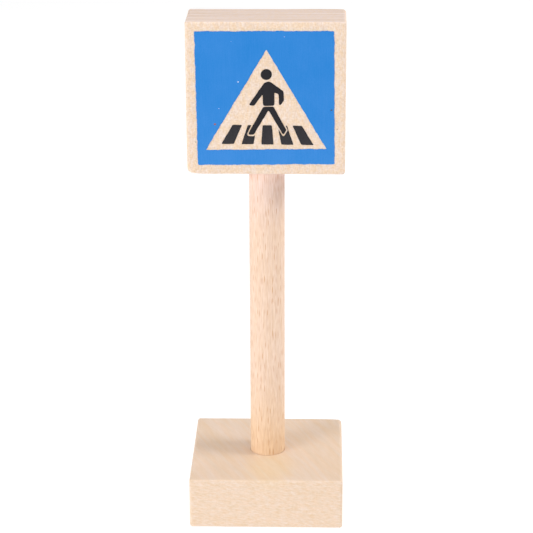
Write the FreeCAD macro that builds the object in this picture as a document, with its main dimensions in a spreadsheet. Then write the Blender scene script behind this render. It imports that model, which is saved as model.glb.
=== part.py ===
import FreeCAD, Part
import math
import os

import Sketcher

# A wooden toy road sign for a pedestrian crossing, in millimetres.
#
# A square base block carries an upright dowel, and the dowel carries a square sign block.
# The dowel is glued into a blind bore at each end, so nothing moves. The sign's front is
# printed, a little askew: a blue field with a triangular window of bare wood, and in the
# window, in black, a walking figure on a crossing of five stripes.
#
# The origin is the middle of the base's underside. +Z is up and the print faces -Y.
# Places in the print are measured from the lower left corner of the sign's front face,
# before the whole print is turned.

DIMENSIONS = {
    "base_width": (52.4, "base block, left to right"),
    "base_depth": (52, "base block, front to back"),
    "base_height": (18, "base block, thickness"),
    "base_bore_depth": (12, "blind bore in the top of the base"),
    "clear_height": (104, "post showing between the two blocks"),
    "post_diameter": (12, "dowel"),
    "post_chamfer": (1, "chamfer round both ends of the dowel"),
    "sign_width": (52.3, "sign block, left to right"),
    "sign_depth": (20, "sign block, front to back"),
    "sign_height": (51.5, "sign block, bottom to top"),
    "sign_bore_depth": (14, "blind bore in the bottom of the sign"),
    "block_rounding": (1, "sanded edges of both blocks"),
    "glue_gap": (0.1, "glue between the dowel and the wall of a bore"),
    "glue_end_gap": (0.4, "glue between the end of the dowel and the floor of a bore"),
    "glue_recess": (0.5, "depth of the glue below the mouth of a bore"),
    "film_thickness": (0.1, "printed ink"),
    "film_rounding": (0.5, "corners of the blue field"),
    "print_turn": (0.6, "degrees that the print is turned in its face, counter-clockwise"),
    "field_left": (3.4, "left edge of the blue field"),
    "field_bottom": (3.6, "bottom edge of the blue field"),
    "field_width": (45.15, "blue field, left to right"),
    "field_height": (44.85, "blue field, bottom to top, at its middle"),
    "field_fall": (0.2, "right end of the blue field's top edge below its left end"),
    "field_lean": (0.1, "top of the blue field's left edge to the left of its foot"),
    "window_middle": (26.04, "middle of the triangular window's bottom edge"),
    "window_bottom": (8.78, "bottom edge of the triangular window"),
    "window_width": (39.68, "triangular window, left to right"),
    "window_height": (33.57, "triangular window, bottom to top"),
    "window_lean": (0.54, "tip of the window to the right of its middle"),
    "walker_middle": (26.95, "middle of the walker's hips"),
    "walker_waist": (23.1, "level of the walker's waist"),
    "walker_unit": (1, "one twenty-second of the walker's height"),
    "head_middle": (26.45, "middle of the walker's head"),
    "head_level": (34.1, "height of the middle of the walker's head"),
    "head_radius": (1.8, "walker's head"),
    "shoulder_rounding": (1, "walker's shoulders"),
    "elbow_rounding": (0.9, "walker's right elbow"),
    "limb_rounding": (0.4, "walker's hands and toes"),
    "foot_rounding": (0.7, "walker's heels"),
    "crossing_middle": (26.5, "middle of the crossing"),
    "crossing_bottom": (10.47, "near edge of the crossing, at its middle"),
    "crossing_height": (6.5, "near edge to far edge of the crossing"),
    "crossing_slope": (-0.02, "rise of the crossing for each millimetre to the right"),
    "crossing_taper": (0.748, "size of the far edge as part of the near edge"),
    "stripe_pitch": (6.56, "stripe to stripe along the near edge"),
    "stripe_width": (4.0, "one stripe along the near edge"),
}

# Outlines of the walker in walker units, sideways from the middle of the hips and up from
# the waist. The last word on a line names the cell that rounds that corner.
TORSO = (
    (-1.65, 0.5, None),
    (1.9, 0.5, None),
    (2.0, 5.1, None),
    (3.5, 4.4, None),
    (3.55, 0.75, None),
    (4.0, 0.65, None),
    (5.05, 2.25, "limb_rounding"),
    (5.0, 5.25, "elbow_rounding"),
    (0.4, 8.7, "shoulder_rounding"),
    (-1.15, 8.2, "shoulder_rounding"),
    (-6.35, 0.75, None),
    (-4.7, 0.6, "limb_rounding"),
    (-1.75, 4.45, None),
)
LEGS = (
    (-1.65, 0.16, None),
    (1.75, 0.16, None),
    (5.85, -7.85, "foot_rounding"),
    (4.8, -9.55, "limb_rounding"),
    (0.05, -1.05, None),
    (-4.85, -9.28, "foot_rounding"),
    (-6.95, -9.28, "limb_rounding"),
)

# The bare outline round each foot, which keeps it clear of the stripe it stands on.
LEFT_FOOT_CLEARANCE = (
    (-5.3, -5.5, None),
    (-2.05, -5.5, None),
    (-4.2, -9.1, None),
    (-4.8, -9.75, None),
    (-7.5, -9.75, "foot_rounding"),
)
RIGHT_FOOT_CLEARANCE = (
    (2.0, -5.5, None),
    (5.2, -5.5, None),
    (6.3, -7.85, "foot_rounding"),
    (4.85, -10.2, "limb_rounding"),
)

STRIPE_COUNT = 5
MIDDLE_STRIPE = 3
FOOT_CLEARANCES = {2: LEFT_FOOT_CLEARANCE, 4: RIGHT_FOOT_CLEARANCE}

# Heights that several sub-parts share.
SIGN_UNDERSIDE = "Dimensions.base_height + Dimensions.clear_height"
BASE_BORE_FLOOR = "Dimensions.base_height - Dimensions.base_bore_depth"
SIGN_BORE_FLOOR = f"{SIGN_UNDERSIDE} + Dimensions.sign_bore_depth"

# Sketcher's numbers for the two ends and the centre of a line, arc or circle, and for the
# sketch's origin.
START = 1
END = 2
CENTRE = 3
ORIGIN = (-1, 1)

# The direction that the print faces, which it turns about.
TOWARD_VIEWER = FreeCAD.Vector(0, -1, 0)

# A place that stays at nought: on a sketch's axis.
NOUGHT = (0.0, "0")

doc = FreeCAD.newDocument("toy_crossing_sign")


def make_sheet():
    """The driving dimensions, one row each: meaning, size, and the size's alias."""
    sheet = doc.addObject("Spreadsheet::Sheet", "Dimensions")
    for row, (alias, (number, meaning)) in enumerate(DIMENSIONS.items(), start=1):
        sheet.set(f"A{row}", meaning)
        sheet.set(f"B{row}", str(number))
        sheet.setAlias(f"B{row}", alias)
    doc.recompute()


def size(alias):
    return float(DIMENSIONS[alias][0])


def cell(alias):
    return f"Dimensions.{alias}"


def make_body(name, place=None):
    """A body named after its sub-part. place maps an axis to the expression that moves it."""
    body = doc.addObject("PartDesign::Body", name)
    body.Label = name
    for axis, expression in (place or {}).items():
        body.setExpression(f"Placement.Base.{axis}", expression)
    return body


def make_sketch(body, role, name, height=None):
    """A sketch on one of the body's own origin planes, raised along its normal by height."""
    plane = next(feature for feature in body.Origin.OriginFeatures if feature.Role == role)
    sketch = body.newObject("Sketcher::SketchObject", name)
    sketch.AttachmentSupport = [(plane, "")]
    sketch.MapMode = "FlatFace"
    if height:
        sketch.setExpression("AttachmentOffset.Base.z", height)
    return sketch


def constrain(sketch, kind, *where, value, expression):
    """Adds a dimension to a sketch and binds it to the sheet."""
    index = sketch.addConstraint(Sketcher.Constraint(kind, *where, value))
    sketch.setExpression(f"Constraints[{index}]", expression)


def locate(sketch, geometry, which_point, across, up):
    """Places a point of a sketch's geometry from the sketch's origin."""
    ends = (*ORIGIN, geometry, which_point)
    constrain(sketch, "DistanceX", *ends, value=across[0], expression=across[1])
    constrain(sketch, "DistanceY", *ends, value=up[0], expression=up[1])


def draw_outline(sketch, corners):
    """A closed outline. A corner is (sideways, up, rounding cell or None), and each of the
    first two is a pair: the number, and the expression that holds it."""
    first = sketch.GeometryCount
    count = len(corners)
    points = [FreeCAD.Vector(across[0], up[0], 0) for across, up, rounding in corners]
    following = [points[(index + 1) % count] for index in range(count)]
    lines = [first + index for index in range(count)]
    for here, there in zip(points, following):
        sketch.addGeometry(Part.LineSegment(here, there), False)
    for index, line in enumerate(lines):
        after = lines[(index + 1) % count]
        sketch.addConstraint(Sketcher.Constraint("Coincident", line, END, after, START))
    for line, (across, up, rounding) in zip(lines, corners):
        locate(sketch, line, START, across, up)
    for index, (across, up, rounding) in enumerate(corners):
        if rounding:
            toward_last = (points[index - 1] + points[index]) / 2
            toward_next = (points[index] + following[index]) / 2
            pair = (lines[index - 1], lines[index])
            sketch.fillet(*pair, toward_last, toward_next, size(rounding), True, True)
            arc = max(
                number
                for number, geometry in enumerate(sketch.Geometry)
                if isinstance(geometry, Part.ArcOfCircle)
            )
            constrain(sketch, "Radius", arc, value=size(rounding), expression=cell(rounding))


def draw_centred_rectangle(sketch, width, depth):
    """A rectangle centred on the sketch's origin, sized by two cells."""

    def half(alias, sign):
        return sign * size(alias) / 2, f"{sign} * {cell(alias)} / 2"

    signs = ((-1, -1), (1, -1), (1, 1), (-1, 1))
    corners = [(half(width, side), half(depth, end), None) for side, end in signs]
    draw_outline(sketch, corners)


def draw_circle(sketch, radius, across=NOUGHT, up=NOUGHT):
    centre = FreeCAD.Vector(across[0], up[0], 0)
    circle = sketch.addGeometry(Part.Circle(centre, FreeCAD.Vector(0, 0, 1), radius[0]), False)
    constrain(sketch, "Radius", circle, value=radius[0], expression=radius[1])
    locate(sketch, circle, CENTRE, across, up)


def pad(body, sketch, length):
    feature = body.newObject("PartDesign::Pad", sketch.Name + "_pad")
    feature.Profile = sketch
    feature.setExpression("Length", length)
    doc.recompute()
    return feature


def pocket(body, sketch, length, along_normal):
    """Cuts the sketch into the body, along its normal or against it, and makes sure that it
    took material away."""
    before = body.Tip.Shape.Volume
    feature = body.newObject("PartDesign::Pocket", sketch.Name + "_pocket")
    feature.Profile = sketch
    feature.setExpression("Length", length)
    feature.Reversed = along_normal
    doc.recompute()
    if feature.Shape.Volume >= before:
        raise RuntimeError(f"{feature.Name} cuts nothing")


def round_edges(body, radius):
    """Rounds every edge that the body's last feature has."""
    last = body.Tip
    feature = body.newObject("PartDesign::Fillet", body.Name + "_rounding")
    edges = [f"Edge{index + 1}" for index in range(len(last.Shape.Edges))]
    feature.Base = (last, edges)
    feature.setExpression("Radius", radius)
    doc.recompute()


def post_radius():
    return size("post_diameter") / 2, "Dimensions.post_diameter / 2"


def bore_radius():
    number, expression = post_radius()
    return number + size("glue_gap"), f"{expression} + Dimensions.glue_gap"


def make_base_block():
    """A square block with eased edges and a blind bore in the middle of its top."""
    body = make_body("base_block")
    outline = make_sketch(body, "XY_Plane", "base_outline")
    draw_centred_rectangle(outline, "base_width", "base_depth")
    pad(body, outline, cell("base_height"))
    round_edges(body, cell("block_rounding"))
    bore = make_sketch(body, "XY_Plane", "base_bore", cell("base_height"))
    draw_circle(bore, bore_radius())
    pocket(body, bore, cell("base_bore_depth"), along_normal=False)


def make_sign_block():
    """A square block on edge, with eased edges and a blind bore in the middle of its bottom."""
    body = make_body("sign_block", {"z": SIGN_UNDERSIDE})
    outline = make_sketch(body, "XY_Plane", "sign_outline")
    draw_centred_rectangle(outline, "sign_width", "sign_depth")
    pad(body, outline, cell("sign_height"))
    round_edges(body, cell("block_rounding"))
    bore = make_sketch(body, "XY_Plane", "sign_bore")
    draw_circle(bore, bore_radius())
    pocket(body, bore, cell("sign_bore_depth"), along_normal=True)


def make_post():
    """A dowel that ends just short of the floor of each bore, with both ends chamfered."""
    body = make_body("post", {"z": f"{BASE_BORE_FLOOR} + Dimensions.glue_end_gap"})
    section = make_sketch(body, "XY_Plane", "post_section")
    draw_circle(section, post_radius())
    length = "Dimensions.clear_height + Dimensions.base_bore_depth"
    length += " + Dimensions.sign_bore_depth - 2 * Dimensions.glue_end_gap"
    dowel = pad(body, section, length)
    chamfer = body.newObject("PartDesign::Chamfer", "post_ends")
    rims = [
        f"Edge{index + 1}"
        for index, edge in enumerate(dowel.Shape.Edges)
        if isinstance(edge.Curve, Part.Circle)
    ]
    chamfer.Base = (dowel, rims)
    chamfer.setExpression("Size", cell("post_chamfer"))
    doc.recompute()


def make_joint_glue(name, floor, depth, up):
    """The cup of glue between one end of the dowel and its bore, turned from half its
    section. floor is the height of the bore's floor, and up is 1 where the bore opens
    upward and -1 where it opens downward."""
    body = make_body(name, {"z": floor})
    section = make_sketch(body, "XZ_Plane", name + "_section")
    wall = bore_radius()
    dowel = post_radius()
    dowel_end = (dowel[0] - size("post_chamfer"), f"{dowel[1]} - Dimensions.post_chamfer")

    def level(number, expression):
        return up * number, f"{up} * ({expression})"

    floor_level = NOUGHT
    end_level = level(size("glue_end_gap"), "Dimensions.glue_end_gap")
    chamfer_level = level(
        size("glue_end_gap") + size("post_chamfer"),
        "Dimensions.glue_end_gap + Dimensions.post_chamfer",
    )
    mouth_level = level(
        size(depth) - size("glue_recess"), f"Dimensions.{depth} - Dimensions.glue_recess"
    )
    corners = [
        (NOUGHT, floor_level, None),
        (wall, floor_level, None),
        (wall, mouth_level, None),
        (dowel, mouth_level, None),
        (dowel, chamfer_level, None),
        (dowel_end, end_level, None),
        (NOUGHT, end_level, None),
    ]
    draw_outline(section, corners)
    turned = body.newObject("PartDesign::Revolution", name + "_turned")
    turned.Profile = section
    turned.ReferenceAxis = (section, ["V_Axis"])
    turned.Angle = 360
    doc.recompute()


def make_film(name):
    """A body for printed ink, with a sketch on the sign's front face whose origin is that
    face's lower left corner, turned with the rest of the print about the face's middle."""
    width = "Dimensions.sign_width"
    height = "Dimensions.sign_height"
    cosine = "cos(Dimensions.print_turn)"
    sine = "sin(Dimensions.print_turn)"
    place = {
        "x": f"({height} * {sine} - {width} * {cosine}) / 2",
        "y": "-Dimensions.sign_depth / 2",
        "z": f"{SIGN_UNDERSIDE} + ({height} - {height} * {cosine} - {width} * {sine}) / 2",
    }
    body = make_body(name, place)
    body.Placement.Rotation = FreeCAD.Rotation(TOWARD_VIEWER, size("print_turn"))
    body.setExpression("Placement.Rotation.Angle", cell("print_turn"))
    return body, make_sketch(body, "XZ_Plane", name + "_outline")


def make_blue_field():
    """A nearly square film with rounded corners and a triangular window. Its left and top
    edges are a little out of true."""
    body, outline = make_film("blue_field")
    left = (size("field_left"), cell("field_left"))
    bottom = (size("field_bottom"), cell("field_bottom"))
    right = (left[0] + size("field_width"), f"{left[1]} + Dimensions.field_width")
    top = (bottom[0] + size("field_height"), f"{bottom[1]} + Dimensions.field_height")
    lean = size("field_lean") / 2
    fall = size("field_fall") / 2
    corners = (
        ((left[0] + lean, f"{left[1]} + Dimensions.field_lean / 2"), bottom),
        (right, bottom),
        (right, (top[0] - fall, f"{top[1]} - Dimensions.field_fall / 2")),
        (
            (left[0] - lean, f"{left[1]} - Dimensions.field_lean / 2"),
            (top[0] + fall, f"{top[1]} + Dimensions.field_fall / 2"),
        ),
    )
    draw_outline(outline, [(*corner, "film_rounding") for corner in corners])
    middle = size("window_middle")
    half = size("window_width") / 2
    sill = (size("window_bottom"), cell("window_bottom"))
    tip = (
        (middle + size("window_lean"), "Dimensions.window_middle + Dimensions.window_lean"),
        (
            sill[0] + size("window_height"),
            "Dimensions.window_bottom + Dimensions.window_height",
        ),
    )
    window = [
        ((middle - half, "Dimensions.window_middle - Dimensions.window_width / 2"), sill, None),
        ((middle + half, "Dimensions.window_middle + Dimensions.window_width / 2"), sill, None),
        (*tip, None),
    ]
    draw_outline(outline, window)
    pad(body, outline, cell("film_thickness"))


def in_walker_units(outline):
    """Turns an outline in walker units into places on the sign's front face."""

    def place(start, steps):
        number = size(start) + steps * size("walker_unit")
        return number, f"Dimensions.{start} + ({steps}) * Dimensions.walker_unit"

    return [
        (place("walker_middle", across), place("walker_waist", up), rounding)
        for across, up, rounding in outline
    ]


def make_walker_head():
    body, outline = make_film("walker_head")
    radius = (size("head_radius"), cell("head_radius"))
    across = (size("head_middle"), cell("head_middle"))
    up = (size("head_level"), cell("head_level"))
    draw_circle(outline, radius, across, up)
    pad(body, outline, cell("film_thickness"))


def make_walker_piece(name, outline_in_units):
    body, outline = make_film(name)
    draw_outline(outline, in_walker_units(outline_in_units))
    pad(body, outline, cell("film_thickness"))


def stripe_corner(steps, side, far):
    """A stripe's corner: steps from the middle stripe, side -1 or 1, far edge or near."""
    reach = steps * size("stripe_pitch") + side * size("stripe_width") / 2
    text = f"({steps} * Dimensions.stripe_pitch + {side} * Dimensions.stripe_width / 2)"
    level = size("crossing_bottom")
    level_text = cell("crossing_bottom")
    if far:
        reach *= size("crossing_taper")
        text += " * Dimensions.crossing_taper"
        level += size("crossing_height")
        level_text += " + Dimensions.crossing_height"
    across = (size("crossing_middle") + reach, f"Dimensions.crossing_middle + {text}")
    level += size("crossing_slope") * reach
    level_text += f" + Dimensions.crossing_slope * ({text})"
    return across, (level, level_text), None


def make_stripe(number, clearance):
    """One stripe of the crossing, which narrows with distance, cut clear of a foot if any."""
    body, outline = make_film(f"stripe_{number}")
    steps = number - MIDDLE_STRIPE
    corners = [
        stripe_corner(steps, -1, far=False),
        stripe_corner(steps, 1, far=False),
        stripe_corner(steps, 1, far=True),
        stripe_corner(steps, -1, far=True),
    ]
    draw_outline(outline, corners)
    pad(body, outline, cell("film_thickness"))
    if clearance:
        gap = make_sketch(body, "XZ_Plane", f"stripe_{number}_foot_gap")
        draw_outline(gap, in_walker_units(clearance))
        pocket(body, gap, cell("film_thickness"), along_normal=True)


def check_everything():
    """Stops if any object failed, or any sub-part's shape is missing or invalid."""
    for item in doc.Objects:
        if "Invalid" in item.State or "Error" in item.State:
            raise RuntimeError(f"{item.Name} failed: {item.State}")
    for body in doc.findObjects("PartDesign::Body"):
        if body.Shape.isNull() or not body.Shape.isValid():
            raise RuntimeError(f"{body.Label} has no valid shape")


def write_parts():
    os.makedirs("parts", exist_ok=True)
    for body in doc.findObjects("PartDesign::Body"):
        body.Shape.exportStep(f"parts/{body.Label}.step")
        count = len(body.Shape.Solids)
        print(f"{body.Label}: {count} solid, {body.Shape.Volume:.2f} mm3")


make_sheet()
make_base_block()
make_post()
make_sign_block()
make_joint_glue("base_joint_glue", BASE_BORE_FLOOR, "base_bore_depth", up=1)
make_joint_glue("sign_joint_glue", SIGN_BORE_FLOOR, "sign_bore_depth", up=-1)
make_blue_field()
make_walker_head()
make_walker_piece("walker_torso", TORSO)
make_walker_piece("walker_legs", LEGS)
for stripe_number in range(1, STRIPE_COUNT + 1):
    make_stripe(stripe_number, FOOT_CLEARANCES.get(stripe_number))
doc.recompute()
check_everything()
write_parts()
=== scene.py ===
import math

import bmesh
import bpy
import numpy as np
from mathutils import Matrix, Vector, geometry, noise


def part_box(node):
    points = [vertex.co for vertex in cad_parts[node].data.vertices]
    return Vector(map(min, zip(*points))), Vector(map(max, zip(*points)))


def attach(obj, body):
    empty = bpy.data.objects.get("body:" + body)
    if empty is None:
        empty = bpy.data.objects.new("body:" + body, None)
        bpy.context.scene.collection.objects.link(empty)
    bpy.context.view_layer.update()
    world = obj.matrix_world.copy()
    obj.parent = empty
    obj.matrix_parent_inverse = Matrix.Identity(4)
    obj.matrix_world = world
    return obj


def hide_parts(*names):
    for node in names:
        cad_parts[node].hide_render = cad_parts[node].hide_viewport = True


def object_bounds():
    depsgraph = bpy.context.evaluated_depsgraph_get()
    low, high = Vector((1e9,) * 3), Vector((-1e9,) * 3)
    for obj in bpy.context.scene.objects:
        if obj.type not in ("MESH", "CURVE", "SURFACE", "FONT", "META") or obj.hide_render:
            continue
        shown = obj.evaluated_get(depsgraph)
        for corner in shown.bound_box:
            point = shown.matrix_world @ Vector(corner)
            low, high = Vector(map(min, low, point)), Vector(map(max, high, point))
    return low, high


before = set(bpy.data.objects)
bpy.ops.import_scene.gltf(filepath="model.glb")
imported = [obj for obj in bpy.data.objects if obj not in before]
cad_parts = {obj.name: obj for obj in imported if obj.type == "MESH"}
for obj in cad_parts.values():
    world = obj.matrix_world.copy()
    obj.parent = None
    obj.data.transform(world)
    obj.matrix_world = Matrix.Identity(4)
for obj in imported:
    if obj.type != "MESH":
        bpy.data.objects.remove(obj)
cad_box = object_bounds()

# A wooden toy road sign for a pedestrian crossing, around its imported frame, in metres.
#
# Two beech blocks and a beech dowel, hand sanded and bare. A cup of glue holds each end of
# the dowel in its bore. The sign's front is printed with a blue field and, in its window, a
# black walker on five stripes. -Y is the front.

MM = 0.001
AXES = range(3)

BASE_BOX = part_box("base_block")
SIGN_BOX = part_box("sign_block")
POST_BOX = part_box("post")
BASE_GLUE_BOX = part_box("base_joint_glue")
SIGN_GLUE_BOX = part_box("sign_joint_glue")
BASE_TOP = BASE_BOX[1].z
PRINT_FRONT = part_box("blue_field")[0].y
SIGN_UNDERSIDE = SIGN_BOX[0].z
POST_RADIUS = (POST_BOX[1].x - POST_BOX[0].x) / 2
BORE_RADIUS = (BASE_GLUE_BOX[1].x - BASE_GLUE_BOX[0].x) / 2

# Creases sharper than these, in degrees, stay sharp: on a block, on a round piece, and on
# what is smooth all over.
BLOCK_CREASE = 40
ROUND_CREASE = 30
NO_CREASE = 180

# Sanded blocks: how round their edges are, how much that varies, and how much crisper the
# top front edges are.
BLOCK_ROUNDING = 1.0 * MM
SANDING_SHARE = 0.22
SANDING_REACH = 9 * MM
CRISPNESS = 0.35 * MM
CRISP_REACH = 4 * MM

# How much rounder three edges are worn at their corners: the base's upright back right
# edge, and the sign's bottom left and top right edges.
CORNER_REACH = 7 * MM
BASE_BACK_RIGHT = 0.5 * MM
SIGN_BOTTOM_LEFT = 1.4 * MM
SIGN_TOP_RIGHT = 0.2 * MM

# The grid of a block's surface, how uneven its faces are, and the flare of a bore's mouth.
CORNER_STEPS = 5
FACET = 1.0 * MM
UNDULATION = 0.05 * MM
UNDULATION_REACH = 7 * MM
MOUTH_FLARE = 0.05 * MM
MOUTH_STEPS = 4
CUTTER_OVERRUN = 1.0 * MM

# Round pieces. The post's wall is uneven by TURNING_DEPTH over TURNING_REACH, and the
# glue's lip by GLUE_LIP over GLUE_REACH.
SEGMENTS = 96
POST_CHAMFER = 1.0 * MM
POST_RING = 0.8 * MM
TURNING_DEPTH = 0.05 * MM
TURNING_REACH = Vector((2.5 * MM, 2.5 * MM, 30 * MM))
GLUE_LIP = 0.05 * MM
GLUE_REACH = 3 * MM

# Printed ink. A film faces the front where its normal does by more than FRONTWARD.
FRONTWARD = 0.9
OUTLINE_STEP = 0.2 * MM
FILM_MESH = 1.2 * MM
FILM_ROUNDING = 0.04 * MM

# How far the ink's edge strays over each reach, from long waves to short ones, and the
# seed of the directions it strays in.
BLEED = ((2.4 * MM, 0.16 * MM), (0.9 * MM, 0.10 * MM), (0.4 * MM, 0.08 * MM))
BLEED_SEED = 2

# How each film took: how far its edge strays as a share of BLEED, how far it spread or,
# below nought, shrank, and how many times its corners are softened.
USUAL_PRINT = (0.4, 0.02 * MM, 2)
PRINTS = {
    "blue_field": (1.0, 0.0, 2),
    "walker_torso": (0.4, 0.06 * MM, 9),
    "walker_legs": (0.4, -0.03 * MM, 4),
    "stripe_2": (0.4, -0.02 * MM, 2),
    "stripe_4": (0.4, 0.0, 2),
}

# Places nearer each other than this are one place.
WELD = 0.001 * MM

# The triangulation's number for keeping only the triangles inside its outlines.
INSIDE = 1

# Specks of stray ink: across and up from the sign's lower left corner, and radius.
PALE_SPECKS = (
    (17.2 * MM, 31.6 * MM, 0.22 * MM),
    (32.2 * MM, 46.6 * MM, 0.1 * MM),
    (15.0 * MM, 45.0 * MM, 0.08 * MM),
    (10.8 * MM, 22.6 * MM, 0.1 * MM),
)
RED_SPECKS = ((9.5 * MM, 17.3 * MM, 0.4 * MM),)
DARK_SPECKS = (
    (47.6 * MM, 22.2 * MM, 0.32 * MM),
    (3.1 * MM, 11.2 * MM, 0.16 * MM),
    (49.5 * MM, 15.8 * MM, 0.16 * MM),
)
SPECK_HEIGHT = 0.06 * MM
SPECK_SQUATNESS = 0.8
SPECK_SUBDIVISIONS = 2

# Where the wood is another colour and the ink is lighter: a warm patch before the post,
# painted warm bounce light and shade at the post's foot, painted cool light and shade on the
# post below the sign, and ink lighter towards the bottom of the sign. The warm patch before
# the post is none and full at the fade's shares of its reach.
WARM_PATCH_MIDDLE = Vector((1, -15, BASE_TOP / MM)) * MM
WARM_PATCH_REACH = Vector((11, 17, 9)) * MM
WARM_PATCH_FADE = (1.0, 0.3)
PAINTED_BOUNCE_HEIGHT = 32 * MM
PAINTED_COOL_LIGHT_REACH = 26 * MM
LIGHTER_INK_HEIGHT = 33 * MM

# How squarely a face cuts the fibres, from where end grain starts to show to where it is
# all that shows.
END_GRAIN = (0.5, 0.95)

# Ray flecks: how far from its middle a fleck starts and is solid, which of the flecks'
# random numbers hide a fleck and show it fully, and how squarely a face cuts the fibres
# where flecks are hidden and where they show.
FLECK_EDGE = (0.45, 0.2)
FLECK_DRAW = (0.35, 1.0)
FLECK_SIDE = (0.8, 0.4)

# Where a warmer spot starts and is full, as mottle.
BLUSH_EDGE = (0.35, 0.65)

# How deep the fine relief of each material is.
WOOD_RELIEF = 0.03 * MM
INK_RELIEF = 0.03 * MM
GLUE_RELIEF = 0.02 * MM

# The sockets of a mix node that carry colours, among those for other kinds of value.
MIX_SHARE = 0
MIX_COLOUR = 6
MIX_OTHER = 7
MIX_RESULT = 2

# The camera: its lens and sensor in millimetres, where it stands, and how far it is turned
# left, pitched down and rolled.
LENS = 133.4
SENSOR = 36
CAMERA_PLACE = Vector((17.634, -633.882, 315.416)) * MM
CAMERA_TURN = math.radians(1.614)
CAMERA_PITCH = math.radians(19.874)
CAMERA_ROLL = math.radians(-0.207)

# The table's own glow, the surround's strength, and where and how the table sweeps up.
FLOOR_GLOW = 0.8
SURROUND = 0.15
SWEEP_START = 2.6
SWEEP_RADIUS = 0.9
SWEEP_STEPS = 12

# Soft square lights: azimuth from the front towards the right and elevation in degrees,
# width in metres, and power in watts.
LIGHTS = {
    "front_left_light": (-50, 12, 0.5, 7.2),
    "right_light": (85, 34, 0.45, 6.4),
    "back_light": (140, 40, 0.6, 0.9),
    "top_light": (0, 88, 1.2, 10.1),
}
LIGHT_DISTANCE = 1.2


# ---------------------------------------------------------------- meshes


def new_piece(name, mesh, node, material):
    """Puts a finished mesh in the scene in the place of a CAD node."""
    piece = bpy.data.objects.new(name, mesh)
    bpy.context.scene.collection.objects.link(piece)
    piece.data.materials.append(material)
    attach(piece, "root")
    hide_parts(node)


def shade(mesh, crease):
    """Shades a mesh smoothly, except over its real creases."""
    mesh.shade_smooth()
    mesh.set_sharp_from_angle(angle=math.radians(crease))


def finished_mesh(name, shape, crease=BLOCK_CREASE):
    """Turns a bmesh into a shaded mesh."""
    bmesh.ops.recalc_face_normals(shape, faces=shape.faces)
    mesh = bpy.data.meshes.new(name)
    shape.to_mesh(mesh)
    shape.free()
    shade(mesh, crease)
    return mesh


def unevenness(place):
    """A slowly changing number from 0 to 1, at a place measured in reaches."""
    return 0.5 + 0.5 * noise.noise(place)


def stations(low, high):
    """Places across one side of a block: close together round its edges, FACET apart
    between them."""
    inner_low = low + BLOCK_ROUNDING
    inner_high = high - BLOCK_ROUNDING
    turns = [math.radians(45) * step / CORNER_STEPS for step in range(1, CORNER_STEPS + 1)]
    edge = [BLOCK_ROUNDING * math.tan(turn) for turn in turns]
    count = round((inner_high - inner_low) / FACET)
    middle = [inner_low + (inner_high - inner_low) * step / count for step in range(count + 1)]
    return [inner_low - reach for reach in reversed(edge)] + middle + [
        inner_high + reach for reach in edge
    ]


def gridded_box(low, high):
    """A closed box of quads through every station, with one vertex where faces meet."""
    shape = bmesh.new()
    places = [stations(low[axis], high[axis]) for axis in AXES]
    vertices = {}

    def vertex(place):
        """The one vertex at a place."""
        key = tuple(place)
        if key not in vertices:
            vertices[key] = shape.verts.new(place)
        return vertices[key]

    for axis in AXES:
        across = (axis + 1) % 3
        along = (axis + 2) % 3
        for side in (places[axis][0], places[axis][-1]):
            for a, a_next in zip(places[across], places[across][1:]):
                for b, b_next in zip(places[along], places[along][1:]):
                    corners = []
                    for pair in ((a, b), (a_next, b), (a_next, b_next), (a, b_next)):
                        place = [0.0, 0.0, 0.0]
                        place[axis] = side
                        place[across], place[along] = pair
                        corners.append(vertex(place))
                    shape.faces.new(corners)
    return shape


def edge_radius(place, low, high, rounder):
    """How round the block's edges are sanded near a place: least along its top front edge,
    and more at the corners that rounder lists with what each adds."""
    radius = BLOCK_ROUNDING * (1 + SANDING_SHARE * noise.noise(place / SANDING_REACH))
    top_front = Vector((place.x, low.y, high.z))
    radius -= CRISPNESS * max(0.0, 1 - (place - top_front).length / CRISP_REACH)
    for corner, extra in rounder:
        nearness = max(0.0, 1 - (place - corner).length / CORNER_REACH)
        radius += extra * nearness ** 2
    return radius


def sand(shape, low, high, rounder):
    """Rounds the box's edges by hand and leaves its faces faintly uneven. Material only
    comes off."""
    for vertex in shape.verts:
        place = vertex.co.copy()
        radius = edge_radius(place, low, high, rounder)
        core = Vector(min(max(place[i], low[i] + radius), high[i] - radius) for i in AXES)
        outward = (place - core).normalized()
        lost = UNDULATION * unevenness(place / UNDULATION_REACH)
        vertex.co = core + outward * (radius - lost)


def turned(profile, wander=None):
    """A closed shape turned about Z from (radius, height) pairs that start and end on the
    axis. wander gives how far a place on the wall strays from true."""
    shape = bmesh.new()
    rings = []
    for radius, height in profile:
        if radius == 0:
            rings.append([shape.verts.new((0, 0, height))])
            continue
        ring = []
        for segment in range(SEGMENTS):
            turn = math.tau * segment / SEGMENTS
            outward = Vector((math.cos(turn), math.sin(turn), 0))
            place = outward * radius + Vector((0, 0, height))
            if wander:
                place += wander(place, outward)
            ring.append(shape.verts.new(place))
        rings.append(ring)
    for lower, upper in zip(rings, rings[1:]):
        for segment in range(SEGMENTS):
            after = (segment + 1) % SEGMENTS
            if len(lower) == 1:
                shape.faces.new((lower[0], upper[after], upper[segment]))
            elif len(upper) == 1:
                shape.faces.new((lower[segment], lower[after], upper[0]))
            else:
                corners = (lower[segment], lower[after], upper[after], upper[segment])
                shape.faces.new(corners)
    return shape


def bore_cutter(floor, mouth):
    """The space of a blind bore whose mouth is eased by a small round flare."""
    outward = math.copysign(1, mouth - floor)
    profile = [(0, floor), (BORE_RADIUS, floor)]
    for step in range(MOUTH_STEPS + 1):
        turn = math.radians(90) * step / MOUTH_STEPS
        radius = BORE_RADIUS + MOUTH_FLARE * (1 - math.cos(turn))
        profile.append((radius, mouth - outward * MOUTH_FLARE * (1 - math.sin(turn))))
    beyond = mouth + outward * CUTTER_OVERRUN
    profile += [(BORE_RADIUS + MOUTH_FLARE, beyond), (0, beyond)]
    return finished_mesh("bore_cutter", turned(profile))


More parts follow.
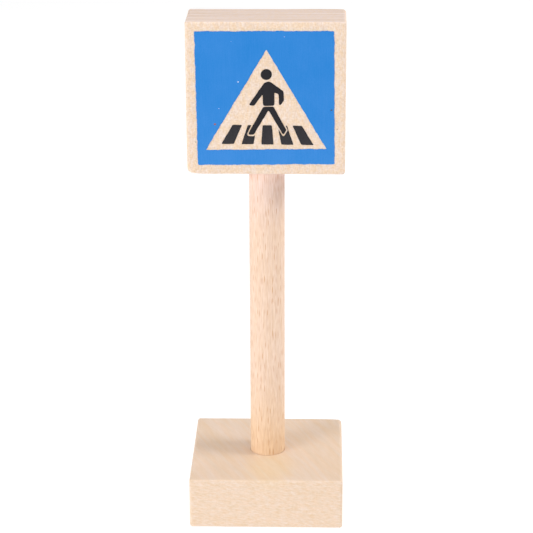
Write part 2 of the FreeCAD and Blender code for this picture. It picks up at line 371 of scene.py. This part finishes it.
def cut_away(mesh, cutter):
    """The mesh with the cutter's space taken out of it."""
    block = bpy.data.objects.new("uncut", mesh)
    tool = bpy.data.objects.new("cutter", cutter)
    for thing in (block, tool):
        bpy.context.scene.collection.objects.link(thing)
    modifier = block.modifiers.new("bore", "BOOLEAN")
    modifier.object = tool
    modifier.solver = "EXACT"
    depsgraph = bpy.context.evaluated_depsgraph_get()
    result = bpy.data.meshes.new_from_object(block.evaluated_get(depsgraph))
    for thing in (block, tool):
        bpy.data.objects.remove(thing)
    return result


def block_mesh(name, box, rounder, bore_floor, bore_mouth):
    """A sanded block with a blind bore."""
    shape = gridded_box(*box)
    sand(shape, *box, rounder)
    mesh = cut_away(finished_mesh(name + "_uncut", shape), bore_cutter(bore_floor, bore_mouth))
    mesh.name = name
    shade(mesh, BLOCK_CREASE)
    return mesh


def corner_of(box, left, front, bottom):
    """One corner of a box: each word is True for the low side of its axis."""
    low, high = box
    return Vector((
        low.x if left else high.x,
        low.y if front else high.y,
        low.z if bottom else high.z,
    ))


# ---------------------------------------------------------------- ink


def printed_outlines(node):
    """The loops of places round a film's front, each once round."""
    shape = bmesh.new()
    shape.from_mesh(node.data)
    bmesh.ops.remove_doubles(shape, verts=shape.verts, dist=WELD)
    shape.normal_update()
    following = {}
    for face in shape.faces:
        if face.normal.y > -FRONTWARD:
            continue
        for corner in face.loops:
            if corner.link_loop_radial_next.face.normal.y > -FRONTWARD:
                following[corner.vert] = corner.link_loop_next.vert
    outlines = []
    while following:
        first, vertex = following.popitem()
        outline = [first.co.xz]
        while vertex is not first:
            outline.append(vertex.co.xz)
            vertex = following.pop(vertex)
        outlines.append(outline)
    shape.free()
    return outlines


def neighbours(outline):
    """Each place of an outline with the one before it and the one after it."""
    return zip(outline[-1:] + outline[:-1], outline, outline[1:] + outline[:1])


def close_set(outline):
    """The outline with places added until none are further apart than OUTLINE_STEP."""
    places = []
    for before, here, after in neighbours(outline):
        count = math.ceil((after - here).length / OUTLINE_STEP)
        places += [here.lerp(after, step / count) for step in range(count)]
    return places


def bled(place, share):
    """Where the edge of the ink runs to from its place in the design."""
    run = Vector((0, 0))
    for reach, stray in BLEED:
        step = noise.noise_vector(Vector((place.x, place.y, reach)) / reach)
        run += share * stray * step.xy
    return place + run


def inked(outline, share, spread, passes):
    """The outline as ink leaves it on wood: spread, soft at its corners and a little
    ragged. PRINTS says what share, spread and passes are."""
    outline = drawn_in(close_set(outline), -spread)
    for _ in range(passes):
        outline = [(before + 2 * here + after) / 4 for before, here, after in neighbours(outline)]
    return [bled(place, share) for place in outline]


def drawn_in(outline, inset):
    """The outline moved in towards its ink, which is on the left of its direction."""
    places = []
    for before, here, after in neighbours(outline):
        along = (after - before).normalized()
        places.append(here + inset * Vector((-along.y, along.x)))
    return places


def covered(places, outlines):
    """Which places the ink covers: those inside an odd number of outlines."""
    across = np.array([place.x for place in places])
    up = np.array([place.y for place in places])
    inside = np.zeros(len(places), bool)
    for outline in outlines:
        for before, here, _ in neighbours(outline):
            if before.y == here.y:
                continue
            level = (before.y > up) != (here.y > up)
            slope = (here.x - before.x) / (here.y - before.y)
            inside ^= level & (across < before.x + slope * (up - before.y))
    return inside


def filling(outlines):
    """Even places over the ink, so that its mesh is regular."""
    xs = [place.x for outline in outlines for place in outline]
    ys = [place.y for outline in outlines for place in outline]
    columns = int((max(xs) - min(xs)) / FILM_MESH)
    rows = int((max(ys) - min(ys)) / FILM_MESH)
    places = [
        Vector((min(xs) + (column + 0.5) * FILM_MESH, min(ys) + (row + 0.5) * FILM_MESH))
        for column in range(columns)
        for row in range(rows)
    ]
    return [place for place, keep in zip(places, covered(places, outlines)) if keep]


def film_mesh(name, node_name):
    """A film of ink on the sign's front: its front drawn in a little at its rounded edge."""
    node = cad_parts[node_name]
    low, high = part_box(node_name)
    took = PRINTS.get(node_name, USUAL_PRINT)
    outlines = [inked(outline, *took) for outline in printed_outlines(node)]
    shape = bmesh.new()
    fronts = [drawn_in(outline, FILM_ROUNDING) for outline in outlines]
    back = sheet_of(shape, outlines, high.y)
    front = sheet_of(shape, fronts, low.y)
    for back_rim, front_rim in zip(back, front):
        shoulder = [shape.verts.new((v.co.x, low.y + FILM_ROUNDING, v.co.z)) for v in back_rim]
        join(shape, back_rim, shoulder)
        join(shape, shoulder, front_rim)
    return finished_mesh(name, shape)


def sheet_of(shape, outlines, y):
    """Fills the outlines with an even mesh at that depth. Gives back their rims."""
    edges = []
    first = 0
    for outline in outlines:
        numbers = [first + step for step in range(len(outline))]
        edges += zip(numbers, numbers[1:] + numbers[:1])
        first += len(outline)
    places = [place for outline in outlines for place in outline] + filling(outlines)
    flat, _, faces, sources, _, _ = geometry.delaunay_2d_cdt(places, edges, [], INSIDE, WELD)
    centres = [sum((flat[number] for number in face), Vector((0, 0))) / 3 for face in faces]
    vertices = [shape.verts.new((place.x, y, place.y)) for place in flat]
    for face, keep in zip(faces, covered(centres, outlines)):
        if keep:
            shape.faces.new([vertices[number] for number in face])
    by_source = {
        source: vertex for vertex, numbers in zip(vertices, sources) for source in numbers
    }
    rims = []
    first = 0
    for outline in outlines:
        rims.append([by_source[first + step] for step in range(len(outline))])
        first += len(outline)
    return rims


def join(shape, rim, other):
    """A band of quads between two rims with as many places."""
    for step in range(len(rim)):
        after = (step + 1) % len(rim)
        shape.faces.new((rim[step], rim[after], other[after], other[step]))


# ---------------------------------------------------------------- materials


class Finish:
    """A material and its nodes."""

    def __init__(self, name):
        self.material = bpy.data.materials.new(name)
        self.material.use_nodes = True
        self.tree = self.material.node_tree
        self.shader = self.tree.nodes["Principled BSDF"]

    def set(self, **sockets):
        """Sets the shader's sockets: a word's underlines stand for the spaces in its name."""
        for word, value in sockets.items():
            self.feed(self.shader.inputs[word.replace("_", " ")], value)
        return self

    def feed(self, socket, value):
        """Gives a socket another node's output, or a plain value."""
        if isinstance(value, bpy.types.NodeSocket):
            self.tree.links.new(value, socket)
        else:
            socket.default_value = value

    def node(self, kind, *values, **settings):
        """A node with its settings, and its inputs in order. None leaves one as it is."""
        node = self.tree.nodes.new(kind)
        for setting, value in settings.items():
            setattr(node, setting, value)
        for socket, value in zip(node.inputs, values):
            if value is not None:
                self.feed(socket, value)
        return node

    def place(self):
        """Places on the object, in metres."""
        return self.node("ShaderNodeTexCoord").outputs["Object"]

    def turned_to(self, grain):
        """Places turned so that X runs along the fibres and Z across the growth rings."""
        turn = grain.to_euler()
        return self.node("ShaderNodeMapping", self.place(), None, turn).outputs[0]

    def sized(self, place, sizes):
        """Places measured in grains of those sizes."""
        scale = [1 / size for size in sizes]
        return self.node("ShaderNodeMapping", place, None, None, scale).outputs[0]

    def mottle(self, place, sizes, detail=2.0, roughness=0.5):
        """Soft noise of grains of those sizes, from 0 to 1."""
        sized = self.sized(place, sizes)
        return self.node("ShaderNodeTexNoise", sized, None, 1.0, detail, roughness).outputs[0]

    def flecks(self, place, sizes):
        """Scattered lens shapes: their distance from their middles, and a number for each."""
        node = self.node("ShaderNodeTexVoronoi", self.sized(place, sizes), None, 1.0)
        return node.outputs["Distance"], node.outputs["Color"]

    def share(self, value, low, high, least=0.0, most=1.0):
        """A smooth step from least to most as the value goes from low to high."""
        return self.node(
            "ShaderNodeMapRange", value, low, high, least, most, interpolation_type="SMOOTHSTEP"
        ).outputs[0]

    def sum(self, *pairs):
        """Values times their weights, added up."""
        total = 0.0
        for value, weight in pairs:
            total = self.node(
                "ShaderNodeMath", value, weight, total, operation="MULTIPLY_ADD"
            ).outputs[0]
        return total

    def times(self, value, other):
        """One value times another."""
        return self.node("ShaderNodeMath", value, other, operation="MULTIPLY").outputs[0]

    def mix(self, share, colour, other, blend="MIX"):
        """One colour changed into another by a share."""
        node = self.node("ShaderNodeMix", data_type="RGBA", blend_type=blend)
        self.feed(node.inputs[MIX_SHARE], share)
        self.feed(node.inputs[MIX_COLOUR], colour)
        self.feed(node.inputs[MIX_OTHER], other)
        return node.outputs[MIX_RESULT]

    def bump(self, height, distance):
        """Fine relief: a height from 0 to 1, over a distance."""
        node = self.node("ShaderNodeBump")
        self.feed(node.inputs["Height"], height)
        self.feed(node.inputs["Distance"], distance)
        return node.outputs[0]


def rgb(red, green, blue):
    """An opaque colour."""
    return (red, green, blue, 1.0)


def millimetres(*sizes):
    """Sizes given in millimetres, in metres."""
    return tuple(size * MM for size in sizes)


def grain_of(fibre, ring_normal):
    """The turn that takes the object's axes to the wood's: along the fibres, along the
    growth rings, and across them."""
    across = Vector(ring_normal).normalized()
    along = Vector(fibre)
    along = (along - along.dot(across) * across).normalized()
    return Matrix((along, across.cross(along), across))


# Which way each piece was cut. The post and the sign stand along their fibres. The base is
# cut flat, with its fibres nearly front to back and its rings tilted a little.
SIGN_GRAIN = grain_of(fibre=(0, 0, 1), ring_normal=(0.02, 1, 0))
BASE_GRAIN = grain_of(fibre=(0.41, -0.91, 0), ring_normal=(0.17, 0.077, 0.98))
POST_GRAIN = grain_of(fibre=(0, 0, 1), ring_normal=(0.35, 0.94, 0))


def beech(name, grain, light, dark, patterns, flecks, blush, end_tone, tints=()):
    """Bare sanded beech: uneven rings and fibres, ray flecks, warmer spots, end grain of
    another tone, and tints, some of which are painted light and shade. Sizes are along the
    fibres, along the rings and across them. A pattern is the sizes of its grains and its
    strength on the side and end grain. Flecks are sizes, a tone and a strength, and the blush
    is sizes and a tone. A tint is how far it takes at each place, and its tone."""
    wood = Finish(name)
    place = wood.turned_to(grain)
    normal = wood.node("ShaderNodeTexCoord").outputs["Normal"]
    facing = wood.node("ShaderNodeVectorMath", normal, tuple(grain[0]), operation="DOT_PRODUCT")
    endward = wood.node("ShaderNodeMath", facing.outputs["Value"], operation="ABSOLUTE").outputs[0]

    mottles = [wood.mottle(place, sizes, 1.5) for sizes, _, _ in patterns]
    tone = 0.5
    for mottle, (_, side, end) in zip(mottles, patterns):
        strength = wood.share(endward, *END_GRAIN, side, end)
        tone = wood.sum((wood.sum((mottle, 1.0), (1.0, -0.5)), strength), (1.0, tone))
    colour = wood.mix(tone, rgb(*dark), rgb(*light))

    fleck_sizes, fleck_tone, fleck_share = flecks
    distance, number = wood.flecks(place, fleck_sizes)
    strength = wood.node("ShaderNodeSeparateColor", number).outputs[0]
    fleck = wood.times(wood.share(distance, *FLECK_EDGE), wood.share(strength, *FLECK_DRAW))
    fleck = wood.times(fleck, wood.share(endward, *FLECK_SIDE))
    colour = wood.mix(wood.times(fleck, fleck_share), colour, rgb(*fleck_tone))

    end_share = wood.share(endward, *END_GRAIN)
    colour = wood.mix(end_share, colour, rgb(*end_tone), blend="MULTIPLY")
    blush_sizes, blush_tone = blush
    warmth = wood.share(wood.mottle(place, blush_sizes, 1.0), *BLUSH_EDGE)
    colour = wood.mix(warmth, colour, rgb(*blush_tone), blend="MULTIPLY")
    # Tints, some of them painted light and shade.
    for tint, tint_tone in tints:
        colour = wood.mix(tint(wood), colour, rgb(*tint_tone), blend="MULTIPLY")

    relief = wood.sum((mottles[0], 0.7), (mottles[1], 0.5), (fleck, -0.3))
    wood.set(
        Base_Color=colour,
        Roughness=wood.sum((mottles[0], -0.15), (fleck, -0.08), (1.0, 0.7)),
        Specular_IOR_Level=0.3,
        Normal=wood.bump(relief, WOOD_RELIEF),
    )
    return wood.material


def warm_patch_before_post(wood):
    """How much warmer the base's top is: most just in front of the post, over the warm patch's
    reach.
    """
    scale = [1 / reach for reach in WARM_PATCH_REACH]
    middle = [-place * size for place, size in zip(WARM_PATCH_MIDDLE, scale)]
    sized = wood.node("ShaderNodeMapping", wood.place(), middle, None, scale).outputs[0]
    away = wood.node("ShaderNodeVectorMath", sized, operation="LENGTH")
    return wood.share(away.outputs["Value"], *WARM_PATCH_FADE)


def up(wood, start, end):
    """How far a place's height has gone from start to end."""
    height = wood.node("ShaderNodeSeparateXYZ", wood.place()).outputs["Z"]
    return wood.share(height, start, end)


def painted_bounce_up_post(wood):
    """How much painted warm bounce light and shade the post takes: most at the base, and none
    above the bounce height.
    """
    return up(wood, BASE_TOP + PAINTED_BOUNCE_HEIGHT, BASE_TOP)


def painted_cool_light_below_sign(wood):
    """How much painted cool light and shade the post takes: most below the sign, and none further
    than its reach.
    """
    return up(wood, SIGN_UNDERSIDE - PAINTED_COOL_LIGHT_REACH, SIGN_UNDERSIDE)


def ink(name, colour, faded, roughness):
    """Matt printing ink: mottled where it dried, thinner on the wood's raised fibres, and
    lighter towards the bottom of the sign."""
    film = Finish(name)
    place = film.turned_to(SIGN_GRAIN)
    fibres = film.mottle(place, millimetres(6, 0.35, 0.5), 3.0, 0.6)
    speckle = film.mottle(place, millimetres(0.4, 0.4, 0.4))
    slow = film.mottle(place, millimetres(9, 9, 9))
    lower_lightening = up(film, SIGN_UNDERSIDE + LIGHTER_INK_HEIGHT, SIGN_UNDERSIDE)
    paling = film.sum((fibres, 0.6), (speckle, 0.7), (slow, 0.6), (lower_lightening, 0.36), (1.0, -0.45))
    film.set(
        Base_Color=film.mix(paling, rgb(*colour), rgb(*faded)),
        Roughness=film.sum((speckle, 0.2), (1.0, roughness)),
        Specular_IOR_Level=0.2,
        Normal=film.bump(film.sum((fibres, 0.6), (speckle, 0.4)), INK_RELIEF),
    )
    return film.material


def glue_finish():
    """Dried wood glue: amber, smooth, with small bubbles and thin places."""
    glue = Finish("wood_glue")
    place = glue.place()
    thin = glue.mottle(place, millimetres(1.2, 1.2, 1.2))
    bubbles, _ = glue.flecks(place, millimetres(0.5, 0.5, 0.5))
    amber = glue.mix(glue.share(thin, 0.3, 0.7), rgb(0.58, 0.39, 0.19), rgb(0.70, 0.52, 0.30))
    glue.set(
        Base_Color=amber,
        Roughness=glue.share(thin, 0.3, 0.7, 0.22, 0.4),
        Normal=glue.bump(glue.share(bubbles, 0.1, 0.3), GLUE_RELIEF),
    )
    return glue.material


def toned(middle, swing):
    """The light and dark tones of a wood: its middle tone, more and less by a swing of each
    of its colours."""
    light = tuple(value * (1 + share) for value, share in zip(middle, swing))
    dark = tuple(value * (1 - share) for value, share in zip(middle, swing))
    return light, dark


def sign_wood():
    """Pale wood, finely streaked both ways on its front, with its rings across its top."""
    patterns = [
        (millimetres(0.4, 0.95, 0.35), 1.15, 0.15),
        (millimetres(1.1, 0.36, 0.35), 1.2, 0.1),
        (millimetres(25, 40, 1.0), 0.3, 1.9),
        (millimetres(3, 2, 3), 0.4, 0.2),
    ]
    light, dark = toned((0.787, 0.632, 0.526), (0.12, 0.18, 0.28))
    flecks = (millimetres(1.5, 0.6, 0.9), (0.76, 0.52, 0.32), 0.35)
    blush = (millimetres(1.8, 1.0, 0.45), (1.01, 0.96, 0.84))
    end_tone = (0.93, 0.95, 1.04)
    return beech("sign_beech", SIGN_GRAIN, light, dark, patterns, flecks, blush, end_tone)


def base_wood():
    """Flat-cut wood, streaked aslant on its top and warmer before the post."""
    patterns = [
        (millimetres(8, 1.8, 0.44), 0.5, 1.8),
        (millimetres(45, 7, 0.9), 0.7, 0.3),
        (millimetres(3, 0.6, 0.6), 0.4, 0.9),
        (millimetres(50, 12, 3), 0.6, 0.3),
    ]
    light, dark = toned((0.79, 0.618, 0.484), (0.06, 0.10, 0.20))
    flecks = (millimetres(2.4, 0.5, 0.9), (0.70, 0.49, 0.32), 0.15)
    blush = (millimetres(16, 1.8, 0.8), (1.01, 0.975, 0.92))
    tints = [(warm_patch_before_post, (1.02, 1.0, 0.9))]
    return beech(
        "base_beech", BASE_GRAIN, light, dark, patterns, flecks, blush, (1, 1, 1), tints
    )


def post_wood():
    """Finely streaked wood with brown flecks, with painted warm bounce light and shade at its
    foot and painted cool light and shade at its top.
    """
    patterns = [
        (millimetres(4.6, 0.26, 0.26), 1.5, 0.5),
        (millimetres(2.8, 0.34, 0.34), 0.9, 0.5),
        (millimetres(60, 4, 1.6), 0.1, 0.5),
    ]
    light, dark = toned((0.81, 0.60, 0.468), (0.11, 0.17, 0.24))
    flecks = (millimetres(4, 0.4, 0.5), (0.64, 0.35, 0.19), 0.9)
    blush = (millimetres(9, 0.5, 0.5), (1.0, 0.985, 0.94))
    # Painted light: warm bounce light and shade at the post's foot, and cool light and shade below
    # the sign.
    tints = [(painted_bounce_up_post, (1.04, 1.0, 0.86)), (painted_cool_light_below_sign, (0.99, 1.0, 1.12))]
    return beech(
        "post_beech", POST_GRAIN, light, dark, patterns, flecks, blush, (0.9, 0.9, 0.9), tints
    )


# ---------------------------------------------------------------- pieces


def make_base():
    """The square foot, with the bore that holds the post."""
    rounder = [
        (corner_of(BASE_BOX, left=False, front=False, bottom=bottom), BASE_BACK_RIGHT)
        for bottom in (True, False)
    ]
    mesh = block_mesh("base_block_wood", BASE_BOX, rounder, BASE_GLUE_BOX[0].z, BASE_TOP)
    new_piece("base_block_wood", mesh, "base_block", base_wood())


def make_sign():
    """The square block on edge that carries the print."""
    rounder = []
    for front in (True, False):
        bottom_left = corner_of(SIGN_BOX, left=True, front=front, bottom=True)
        top_right = corner_of(SIGN_BOX, left=False, front=front, bottom=False)
        rounder += [(bottom_left, SIGN_BOTTOM_LEFT), (top_right, SIGN_TOP_RIGHT)]
    mesh = block_mesh("sign_block_wood", SIGN_BOX, rounder, SIGN_GLUE_BOX[1].z, SIGN_UNDERSIDE)
    new_piece("sign_block_wood", mesh, "sign_block", sign_wood())


def make_post():
    """The dowel, faintly uneven along its fibres, with a chamfer at each end."""
    low = POST_BOX[0].z
    high = POST_BOX[1].z
    wall_low = low + POST_CHAMFER
    wall_high = high - POST_CHAMFER
    count = round((wall_high - wall_low) / POST_RING)
    wall = [wall_low + (wall_high - wall_low) * step / count for step in range(count + 1)]
    end_radius = POST_RADIUS - POST_CHAMFER
    profile = [(0, low), (end_radius / 2, low), (end_radius, low)]
    profile += [(POST_RADIUS, height) for height in wall]
    profile += [(end_radius, high), (end_radius / 2, high), (0, high)]

    def wander(place, outward):
        if place.z < wall_low or place.z > wall_high:
            return Vector()
        step = Vector(place[i] / TURNING_REACH[i] for i in AXES)
        return -outward * TURNING_DEPTH * unevenness(step)

    mesh = finished_mesh("post_wood", turned(profile, wander), ROUND_CREASE)
    new_piece("post_wood", mesh, "post", post_wood())


def make_glue(name, node, box, end_level, opening):
    """A cup of glue round one end of the post, with an uneven lip. opening is 1 where the
    cup opens upward and -1 where it opens downward."""
    floor, lip = (box[0].z, box[1].z) if opening > 0 else (box[1].z, box[0].z)
    chamfer_level = end_level + opening * POST_CHAMFER
    profile = [
        (0, floor),
        (BORE_RADIUS, floor),
        (BORE_RADIUS, lip),
        (POST_RADIUS, lip),
        (POST_RADIUS, chamfer_level),
        (POST_RADIUS - POST_CHAMFER, end_level),
        (0, end_level),
    ]

    def wander(place, outward):
        if abs(place.z - lip) > WELD:
            return Vector()
        return Vector((0, 0, -opening * GLUE_LIP * unevenness(place / GLUE_REACH)))

    mesh = finished_mesh(name, turned(profile, wander), ROUND_CREASE)
    new_piece(name, mesh, node, glue_finish())


def make_films():
    """The print: one film of blue and eight of black."""
    blue = ink("blue_ink", (0.004, 0.192, 0.585), (0.042, 0.24, 0.655), 0.55)
    black = ink("black_ink", (0.007, 0.006, 0.010), (0.022, 0.020, 0.024), 0.55)
    # The stripes, lower on the sign, are printed in a paler black.
    paler_black = ink("worn_black_ink", (0.004, 0.004, 0.006), (0.037, 0.034, 0.039), 0.55)
    for node in sorted(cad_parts):
        if node.startswith("stripe_"):
            make_film(node, paler_black)
        elif node.startswith("walker_"):
            make_film(node, black)
    make_film("blue_field", blue)


def make_film(node, tone):
    """One film of the print, in the place of its node."""
    name = node + "_ink"
    new_piece(name, film_mesh(name, node), node, tone)


def make_specks():
    """Dried drops of stray ink on the sign's front, in three colours."""
    pale = ink("pale_ink", (0.8, 0.85, 0.9), (0.9, 0.93, 0.95), 0.5)
    red = ink("red_ink", (0.30, 0.09, 0.08), (0.36, 0.13, 0.11), 0.5)
    grey = ink("grey_ink", (0.05, 0.07, 0.12), (0.08, 0.10, 0.15), 0.5)
    make_domes("pale_specks", PALE_SPECKS, pale)
    make_domes("red_specks", RED_SPECKS, red)
    make_domes("dark_specks", DARK_SPECKS, grey)


def make_domes(name, specks, tone):
    """Specks of one colour, as low domes that are part of the blue print."""
    shape = bmesh.new()
    for across, up, radius in specks:
        place = Vector((SIGN_BOX[0].x + across, PRINT_FRONT, SIGN_BOX[0].z + up))
        size = Matrix.Diagonal((radius, SPECK_HEIGHT, SPECK_SQUATNESS * radius, 1))
        matrix = Matrix.Translation(place) @ size
        bmesh.ops.create_icosphere(
            shape, subdivisions=SPECK_SUBDIVISIONS, radius=1, matrix=matrix
        )
    new_piece(name, finished_mesh(name, shape, NO_CREASE), "blue_field", tone)


# ---------------------------------------------------------------- the room


def make_floor():
    """A plain white table that sweeps up all round, so that no view has a horizon. It
    glows a little, as a lit table does."""
    profile = [(0, 0), (SWEEP_START, 0)]
    for step in range(1, SWEEP_STEPS + 1):
        turn = math.radians(90) * step / SWEEP_STEPS
        reach = SWEEP_START + SWEEP_RADIUS * math.sin(turn)
        profile.append((reach, SWEEP_RADIUS * (1 - math.cos(turn))))
    mesh = finished_mesh("floor", turned(profile))
    floor = bpy.data.objects.new("floor", mesh)
    bpy.context.scene.collection.objects.link(floor)
    paper = Finish("floor_paper")
    paper.set(Base_Color=rgb(0.3, 0.3, 0.3), Roughness=0.9, Specular_IOR_Level=0.0)
    paper.set(Emission_Color=rgb(1, 1, 1), Emission_Strength=FLOOR_GLOW)
    floor.data.materials.append(paper.material)


def make_light(name, azimuth, elevation, size, power):
    """A soft square light aimed at the middle of the object."""
    turn = math.radians(azimuth)
    climb = math.radians(elevation)
    level = math.cos(climb)
    toward = Vector((math.sin(turn) * level, -math.cos(turn) * level, math.sin(climb)))
    lamp = bpy.data.lights.new(name, "AREA")
    lamp.energy = power
    lamp.size = size
    light = bpy.data.objects.new(name, lamp)
    light.location = (cad_box[0] + cad_box[1]) / 2 + toward * LIGHT_DISTANCE
    light.rotation_euler = toward.to_track_quat("Z", "Y").to_euler()
    light.visible_camera = False
    bpy.context.scene.collection.objects.link(light)


def make_world():
    """An even, dim white surround."""
    world = bpy.data.worlds.new("surround")
    world.use_nodes = True
    background = world.node_tree.nodes["Background"]
    background.inputs["Color"].default_value = rgb(1, 1, 1)
    background.inputs["Strength"].default_value = SURROUND
    bpy.context.scene.world = world


def make_camera():
    """The camera that looks down at the front of the object."""
    camera = bpy.data.objects.new("camera", bpy.data.cameras.new("camera"))
    camera.data.lens = LENS
    camera.data.sensor_width = SENSOR
    turn = Matrix.Rotation(CAMERA_TURN, 4, "Z")
    pitch = Matrix.Rotation(math.radians(90) - CAMERA_PITCH, 4, "X")
    roll = Matrix.Rotation(CAMERA_ROLL, 4, "Z")
    camera.matrix_world = Matrix.Translation(CAMERA_PLACE) @ turn @ pitch @ roll
    bpy.context.scene.collection.objects.link(camera)
    bpy.context.scene.camera = camera


# ---------------------------------------------------------------- the scene


make_camera()
make_world()
for light, settings in LIGHTS.items():
    make_light(light, *settings)
make_floor()
make_base()
make_sign()
make_post()
make_glue("base_glue", "base_joint_glue", BASE_GLUE_BOX, POST_BOX[0].z, opening=1)
make_glue("sign_glue", "sign_joint_glue", SIGN_GLUE_BOX, POST_BOX[1].z, opening=-1)

# Without a seed, the directions of vector noise would differ from run to run.
noise.seed_set(BLEED_SEED)
make_films()
make_specks()

# The plain view transform, under which white stays white.
bpy.context.scene.view_settings.view_transform = "Standard"
